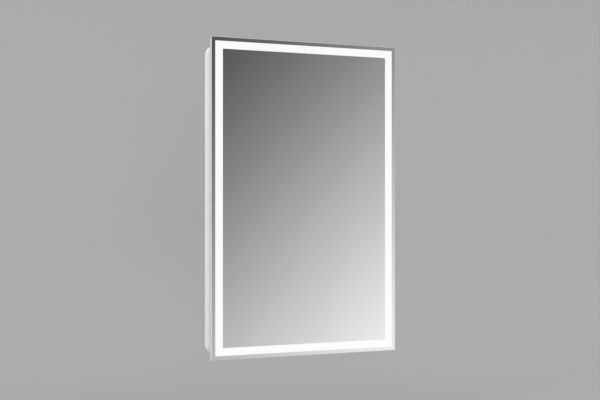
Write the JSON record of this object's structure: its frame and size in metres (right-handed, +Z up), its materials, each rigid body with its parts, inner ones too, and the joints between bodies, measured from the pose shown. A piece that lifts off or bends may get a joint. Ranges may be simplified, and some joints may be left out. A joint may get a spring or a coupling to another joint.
{
  "type": "medicine cabinet with mirror",
  "caption": "Slim wall medicine cabinet: white round-cornered body, full-size mirror door with a lit frosted band near its edge, glass shelves inside.",
  "frame": {"origin": "centre of the four wall fixings, on the wall plane that the cabinet's back touches", "axes": "+X to the right seen from the front, +Y into the wall with the mirror facing -Y, +Z up"},
  "size_m": [0.5, 0.08, 0.8],
  "materials": {
    "mirror_silvered": "silvered 4 mm float glass with seamed edges and a frosted band",
    "inner_mirror": "silvered 3 mm float glass",
    "shelf_glass": "toughened glass with ground edges",
    "body_white": "white powder coat, fine texture",
    "rail_aluminium": "satin anodised extrusion",
    "bar_aluminium": "satin anodised bar",
    "key_aluminium": "mill finish",
    "hinge_steel": "stainless, brushed along its length",
    "fastener_steel": "zinc plated steel",
    "pin_steel": "polished chrome plate",
    "magnet_steel": "nickel plated magnet",
    "guide_acrylic": "clear acrylic with etched back",
    "led_board": "white solder mask with light emitting chips",
    "film_white": "white reflecting film",
    "core_board": "rigid foam board",
    "pad_foil": "amber heating foil",
    "plastic_white": "moulded white plastic",
    "plastic_grey": "moulded grey plastic",
    "driver_white": "moulded white housing",
    "terminal_grey": "moulded terminal body",
    "lead_white": "soft white lead",
    "wire_brown": "insulated wire",
    "rubber_black": "moulded rubber",
    "clear_silicone": "clear silicone",
    "spring_steel": "spring wire",
    "button_chrome": "satin chrome"
  },
  "bodies": {
    "cabinet": {"body_shell": "body_white", "front_frame": "body_white", "back_panel": "body_white", "wall_spacers": "plastic_grey", "cable_grommet": "rubber_black", "inner_back_mirror": "inner_mirror", "pilaster_left_front": "bar_aluminium", "pilaster_left_back": "bar_aluminium", "pilaster_right_front": "bar_aluminium", "pilaster_right_back": "bar_aluminium", "glass_shelf_lower": "shelf_glass", "glass_shelf_middle": "shelf_glass", "glass_shelf_upper": "shelf_glass", "shelf_pins": "pin_steel", "shelf_pin_sleeves": "clear_silicone", "driver_cover": "body_white", "driver_cover_screws": "fastener_steel", "lead_grommet": "rubber_black", "led_driver": "driver_white", "terminal_block": "terminal_grey", "supply_wires": "wire_brown", "cable_trunking": "plastic_white", "switch_lead": "lead_white", "door_lead": "lead_white", "switch_module": "plastic_grey", "switch_cover": "plastic_white", "button_bezel": "button_chrome", "button_nut": "fastener_steel", "button_spring": "spring_steel", "hinge_body_leaf": "hinge_steel", "hinge_pin": "hinge_steel", "hinge_body_rivets": "fastener_steel", "catch_cups": "plastic_white", "catch_magnets": "magnet_steel", "door_bumpers": "clear_silicone"},
    "door": {"mirror_glass": "mirror_silvered", "door_rail_top": "rail_aluminium", "light_guide_top": "guide_acrylic", "led_strip_top": "led_board", "door_rail_bottom": "rail_aluminium", "light_guide_bottom": "guide_acrylic", "led_strip_bottom": "led_board", "door_rail_hinge": "rail_aluminium", "light_guide_hinge": "guide_acrylic", "led_strip_hinge": "led_board", "door_rail_latch": "rail_aluminium", "light_guide_latch": "guide_acrylic", "led_strip_latch": "led_board", "band_reflector": "film_white", "corner_keys": "key_aluminium", "corner_key_screws": "fastener_steel", "demister_pad": "pad_foil", "door_core": "core_board", "inner_door_mirror": "inner_mirror", "strike_plates": "fastener_steel", "hinge_door_leaf": "hinge_steel", "hinge_door_rivets": "fastener_steel", "door_lead_boss": "plastic_white"},
    "button": {"button_cap": "button_chrome"}
  },
  "joints": [
    {"name": "door_swing", "type": "hinge", "parent": "cabinet", "child": "door", "pos_m": [0.24795, -0.0648, 0], "axis": [0, 0, 1], "range_deg": [0, 110], "deforming": ["door_lead"]},
    {"name": "button_press", "type": "slide", "parent": "cabinet", "child": "button", "axis": [0, 0, 1], "range_m": [0, 0.0015], "stiffness_N_per_m": 800, "springref_m": -0.001, "deforming": ["button_spring"]}
  ]
}
